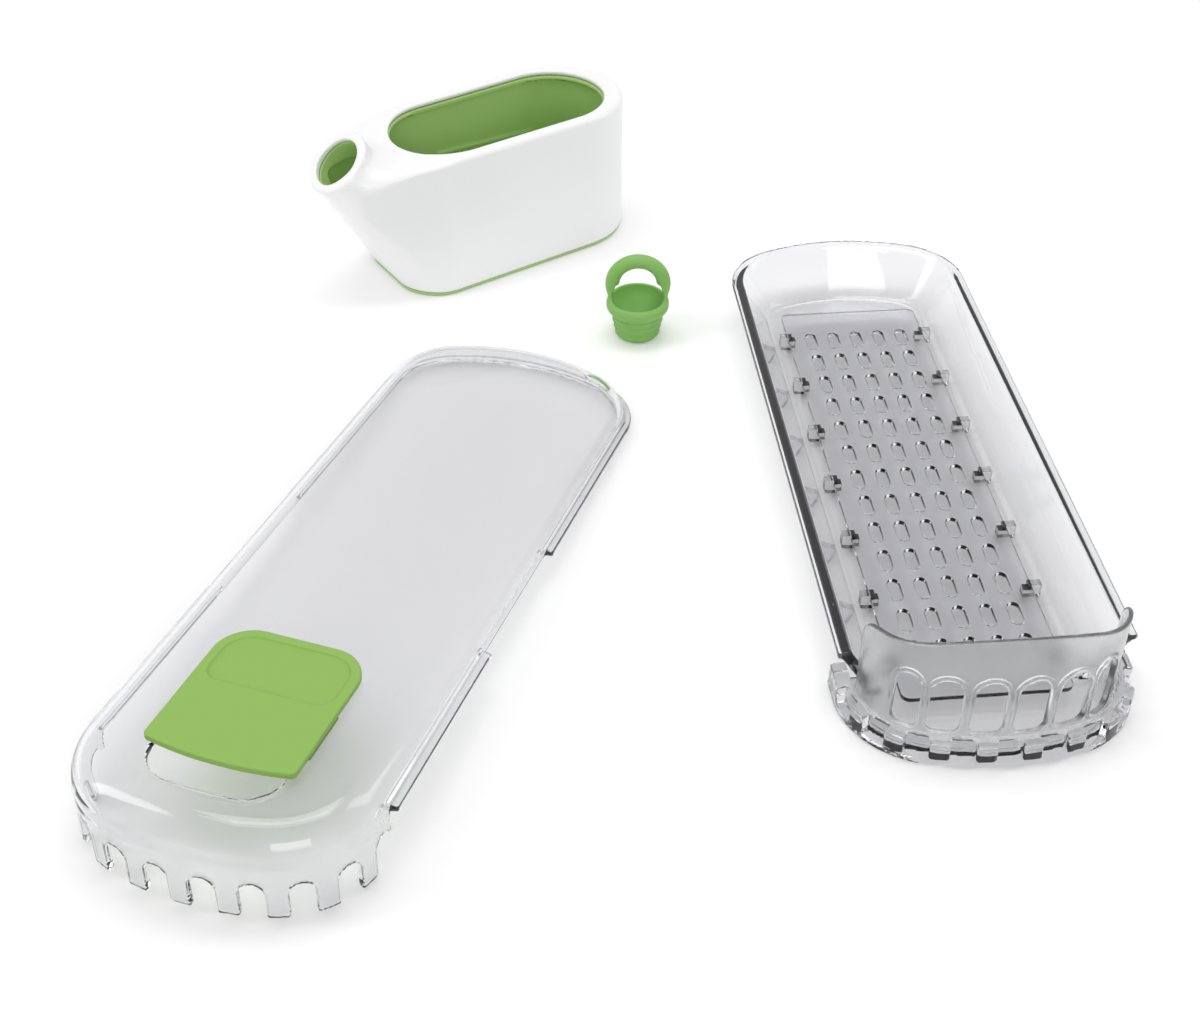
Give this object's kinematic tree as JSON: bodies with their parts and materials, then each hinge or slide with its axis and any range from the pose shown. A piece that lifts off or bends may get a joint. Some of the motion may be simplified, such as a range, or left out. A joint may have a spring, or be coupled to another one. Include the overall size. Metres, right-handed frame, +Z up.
{
  "type": "herb keeper",
  "caption": "Herb keeper taken apart: spouted water tank with a pull-ring stopper, clear comb-ended cover with a sliding vent door, and clear tray with a stem cage.",
  "frame": {"origin": "point on the underside of the tank's foot, at the middle of the tank", "axes": "+Z up from the surface that everything lies on; +Y away from the viewer, +X to the viewer's right"},
  "size_m": [0.3135, 0.407, 0.0681],
  "materials": {
    "white_shell": "glossy moulded ABS",
    "green_liner": "satin moulded polypropylene",
    "soft_green": "satin soft elastomer",
    "green_door": "satin moulded polypropylene",
    "clear_plastic": "clear polished styrene acrylonitrile",
    "frosted_clear": "clear moulding with a light frost"
  },
  "bodies": {
    "tank": {"reservoir_shell": "white_shell", "reservoir_liner": "green_liner", "foot_pad": "green_liner"},
    "stopper": {"fill_stopper": "soft_green"},
    "cover": {"cover_shell": "clear_plastic"},
    "door": {"vent_door": "green_door"},
    "tray": {"tray_shell": "clear_plastic", "stem_cage": "frosted_clear", "drip_grid": "clear_plastic", "grid_clips": "clear_plastic"}
  },
  "joints": [
    {"name": "stopper_lift", "type": "slide", "parent": "tank", "child": "stopper", "axis": [0, 0, 1], "range_m": [0, 0.1]},
    {"name": "cover_lift", "type": "slide", "parent": "tank", "child": "cover", "axis": [0, 0, 1], "range_m": [0, 0.15]},
    {"name": "tray_lift", "type": "slide", "parent": "tank", "child": "tray", "axis": [0, 0, 1], "range_m": [0, 0.15]},
    {"name": "door_slide", "type": "slide", "parent": "cover", "child": "door", "axis": [-0.3214, -0.9442, 0.0722], "range_m": [0, 0.011]}
  ]
}
